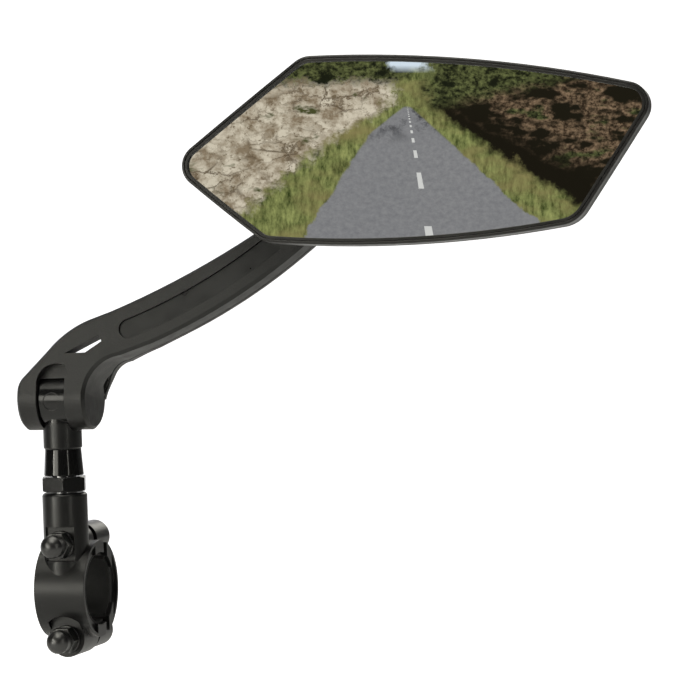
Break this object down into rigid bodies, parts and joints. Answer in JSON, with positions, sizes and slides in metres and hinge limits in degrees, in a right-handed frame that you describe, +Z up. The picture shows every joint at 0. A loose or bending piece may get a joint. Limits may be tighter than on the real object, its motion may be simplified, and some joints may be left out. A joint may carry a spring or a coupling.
{
  "type": "bicycle handlebar mirror",
  "caption": "Bicycle handlebar mirror: split bar clamp with a swivelling stem, a folding curved arm and a five-sided flat mirror head on a ball joint.",
  "frame": {"origin": "centre of the clamp's bar bore, halfway along it", "axes": "+X along the handlebar towards its free end on the mirror's side, +Y forwards away from the rider, +Z up"},
  "size_m": [0.2133, 0.0483, 0.193],
  "materials": {
    "clamp_black": "satin black anodised",
    "stem_black": "glossy black anodised",
    "fastener_black": "black oxide, satin",
    "steel": "plain turned steel",
    "insert_brass": "plain",
    "liner_rubber": "matt",
    "arm_plastic": "finely grained dark grey",
    "inlay_plastic": "smooth satin",
    "rim_plastic": "satin, warm black",
    "housing_plastic": "finely grained",
    "inner_plastic": "plain moulded",
    "seat_plastic": "natural acetal",
    "pad_foam": "closed-cell foam tape",
    "mirror_silver": "flat silvered glass"
  },
  "bodies": {
    "clamp": {"clamp_front": "clamp_black", "clamp_rear": "clamp_black", "bar_liner_front": "liner_rubber", "bar_liner_rear": "liner_rubber", "clamp_bolt_upper": "fastener_black", "clamp_bolt_lower": "fastener_black", "clamp_washers": "fastener_black", "acorn_nuts": "fastener_black"},
    "lock": {"lock_nut": "stem_black"},
    "stem": {"threaded_stud": "steel", "tapered_collar": "stem_black", "swivel_knuckle": "stem_black", "friction_washers": "seat_plastic"},
    "arm": {"arm_front": "arm_plastic", "arm_rear_cover": "arm_plastic", "arm_inlay": "inlay_plastic", "cover_screws": "fastener_black", "pivot_bolt": "fastener_black", "pivot_spring_washer": "steel", "pivot_insert": "insert_brass", "ball_stud": "steel", "stud_washer": "steel", "stud_nut": "steel"},
    "pan_seat": {"ball_seat_rear": "seat_plastic"},
    "tilt_seat": {"ball_seat_front": "seat_plastic"},
    "head": {"rear_housing": "housing_plastic", "bezel": "rim_plastic", "mirror_glass": "mirror_silver", "adhesive_pad": "pad_foam", "back_plate": "inner_plastic", "plate_screws": "steel", "socket_retainer": "inner_plastic", "retainer_screws": "steel"}
  },
  "joints": [
    {"name": "post_swivel", "type": "hinge", "parent": "clamp", "child": "stem", "pos_m": [0, -0.0075, 0.045], "axis": [0, 0, 1], "range_deg": [-180, 180]},
    {"name": "lock_nut_turn", "type": "hinge", "parent": "clamp", "child": "lock", "pos_m": [0, -0.0075, 0.035], "axis": [0, 0, 1], "range_deg": [-140, 0]},
    {"name": "arm_fold", "type": "hinge", "parent": "stem", "child": "arm", "pos_m": [0, -0.0075, 0.0634], "axis": [1, 0, 0], "range_deg": [-55, 90]},
    {"name": "head_pan", "type": "hinge", "parent": "arm", "child": "pan_seat", "pos_m": [0.099, -0.01234, 0.13732], "axis": [-0.0073, 0.1043, 0.9945], "range_deg": [-19, 11]},
    {"name": "head_tilt", "type": "hinge", "parent": "pan_seat", "child": "tilt_seat", "pos_m": [0.099, -0.01234, 0.13732], "axis": [0.9976, 0.0698, 0], "range_deg": [-21, 9]},
    {"name": "head_roll", "type": "hinge", "parent": "tilt_seat", "child": "head", "pos_m": [0.099, -0.01234, 0.13732], "axis": [-0.0694, 0.9921, -0.1045], "range_deg": [-25, 25]}
  ]
}
